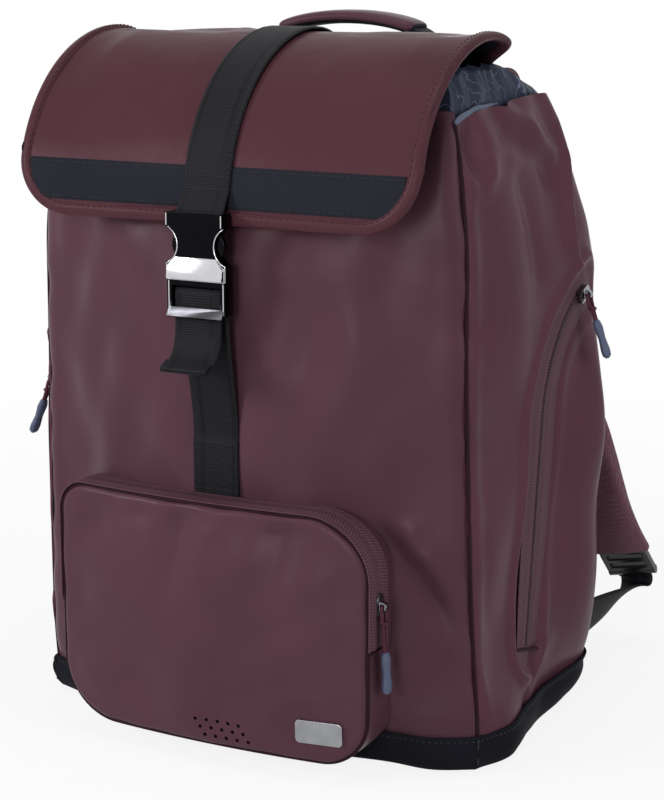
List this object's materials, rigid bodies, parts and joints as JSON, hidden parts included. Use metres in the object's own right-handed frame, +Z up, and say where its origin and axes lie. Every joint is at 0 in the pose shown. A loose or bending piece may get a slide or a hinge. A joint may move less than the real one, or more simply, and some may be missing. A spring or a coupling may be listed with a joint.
{
  "type": "travel backpack",
  "caption": "Upright soft travel backpack with a buckled top flap, front zip pocket, side zips, top handle and padded shoulder straps.",
  "frame": {"origin": "on the floor under the middle of the base", "axes": "+Z up, the front pocket faces -Y, +X to the right as seen from the front"},
  "size_m": [0.3584, 0.3632, 0.4532],
  "materials": {
    "burgundy_fabric": "satin coated weave",
    "back_mesh": "padded air mesh",
    "pad_mesh": "padded strap cloth with mesh",
    "black_fabric": "satin coated weave",
    "black_webbing": "ribbed woven webbing",
    "zip_tape": "coated tape",
    "zip_coil": "moulded coil",
    "gunmetal": "polished black nickel",
    "plate_metal": "polished",
    "pull_cord": "braided",
    "pull_rubber": "matt moulded",
    "lock_plastic": "moulded",
    "lining_fabric": "printed lining",
    "board": "plain board",
    "frame_plastic": "plain sheet"
  },
  "bodies": {
    "bag": {"front_panel": "burgundy_fabric", "left_gusset": "burgundy_fabric", "right_gusset": "burgundy_fabric", "back_panel": "back_mesh", "base_boot": "black_fabric", "bottom_board": "board", "back_frame_sheet": "frame_plastic", "device_sleeve": "lining_fabric", "top_yoke": "burgundy_fabric", "lining_collar": "lining_fabric", "left_piping": "burgundy_fabric", "right_piping": "burgundy_fabric", "pocket_face": "burgundy_fabric", "pocket_gusset": "burgundy_fabric", "pocket_zip_tape": "zip_tape", "pocket_zip_coil": "zip_coil", "pocket_piping": "burgundy_fabric", "pocket_plate": "plate_metal", "right_zip_tape": "zip_tape", "right_zip_coil": "zip_coil", "left_zip_tape": "zip_tape", "left_zip_coil": "zip_coil", "flap_root": "burgundy_fabric", "sewn_strap": "black_webbing", "handle_anchors": "black_webbing", "left_strap_root": "burgundy_fabric", "left_webbing": "black_webbing", "left_strap_tab": "black_fabric", "right_strap_root": "burgundy_fabric", "right_webbing": "black_webbing", "right_strap_tab": "black_fabric"},
    "flap": {"flap_panel": "burgundy_fabric", "flap_binding": "burgundy_fabric", "flap_band": "black_fabric", "flap_strap": "black_webbing", "buckle_socket": "gunmetal"},
    "front_strap": {"front_strap": "black_webbing", "buckle_tongue": "gunmetal"},
    "left_release_ear": {"left_release_ear": "gunmetal"},
    "right_release_ear": {"right_release_ear": "gunmetal"},
    "strap_tail": {"strap_tail": "black_webbing"},
    "handle": {"handle_webbing": "black_webbing", "handle_grip": "burgundy_fabric"},
    "pocket_slider": {"pocket_slider": "gunmetal"},
    "pocket_pull": {"pocket_pull_cord": "pull_cord", "pocket_pull_grip": "pull_rubber"},
    "right_slider": {"right_slider": "gunmetal"},
    "right_pull": {"right_pull_cord": "pull_cord", "right_pull_grip": "pull_rubber"},
    "left_slider": {"left_slider": "gunmetal"},
    "left_pull": {"left_pull_cord": "pull_cord", "left_pull_grip": "pull_rubber"},
    "left_shoulder": {"left_shoulder_pad": "pad_mesh", "left_ladder_lock": "lock_plastic"},
    "right_shoulder": {"right_shoulder_pad": "pad_mesh", "right_ladder_lock": "lock_plastic"}
  },
  "joints": [
    {"name": "flap_hinge", "type": "hinge", "parent": "bag", "child": "flap", "pos_m": [0, -0.01664, 0.44015], "axis": [-1, 0, 0], "range_deg": [0, 135]},
    {"name": "front_strap_swing", "type": "hinge", "parent": "bag", "child": "front_strap", "pos_m": [0, -0.1431, 0.2], "axis": [1, 0, 0], "range_deg": [0, 48]},
    {"name": "left_ear_press", "type": "slide", "parent": "front_strap", "child": "left_release_ear", "axis": [1, 0, 0], "range_m": [0, 0.003], "stiffness_N_per_m": 900},
    {"name": "right_ear_press", "type": "slide", "parent": "front_strap", "child": "right_release_ear", "axis": [-1, 0, 0], "range_m": [0, 0.003], "stiffness_N_per_m": 900},
    {"name": "tail_swing", "type": "hinge", "parent": "front_strap", "child": "strap_tail", "pos_m": [0, -0.16029, 0.2765], "axis": [-1, 0, 0], "range_deg": [0, 65]},
    {"name": "handle_fold", "type": "hinge", "parent": "bag", "child": "handle", "pos_m": [0, 0.04627, 0.42131], "axis": [-1, 0, 0], "range_deg": [0, 40]},
    {"name": "pocket_zip_slide", "type": "slide", "parent": "bag", "child": "pocket_slider", "axis": [0, 0, 1], "range_m": [-0.018, 0.008]},
    {"name": "pocket_pull_swing", "type": "hinge", "parent": "pocket_slider", "child": "pocket_pull", "pos_m": [0.11335, -0.13935, 0.112], "axis": [0, -1, 0], "range_deg": [0, 75]},
    {"name": "right_zip_slide", "type": "hinge", "parent": "bag", "child": "right_slider", "pos_m": [0.155, 0.0895, 0.189], "axis": [1, 0, 0], "range_deg": [0, 40]},
    {"name": "right_pull_swing", "type": "hinge", "parent": "right_slider", "child": "right_pull", "pos_m": [0.16055, 0.05872, 0.27357], "axis": [0, -1, 0], "range_deg": [-15, 50]},
    {"name": "left_zip_slide", "type": "slide", "parent": "bag", "child": "left_slider", "axis": [0, 0, 1], "range_m": [-0.14, 0.01]},
    {"name": "left_pull_swing", "type": "hinge", "parent": "left_slider", "child": "left_pull", "pos_m": [-0.16055, -0.0855, 0.214], "axis": [0, 1, 0], "range_deg": [-20, 48]},
    {"name": "left_shoulder_swing", "type": "hinge", "parent": "bag", "child": "left_shoulder", "pos_m": [0, 0.066, 0.4104], "axis": [1, 0, 0], "range_deg": [0, 14], "deforming": ["left_webbing"]},
    {"name": "right_shoulder_swing", "type": "hinge", "parent": "bag", "child": "right_shoulder", "pos_m": [0, 0.066, 0.4104], "axis": [1, 0, 0], "range_deg": [0, 14], "deforming": ["right_webbing"]}
  ],
  "couplings": [
    {"joint": "front_strap_swing", "follows": "flap_hinge", "ratio": 0.35}
  ]
}
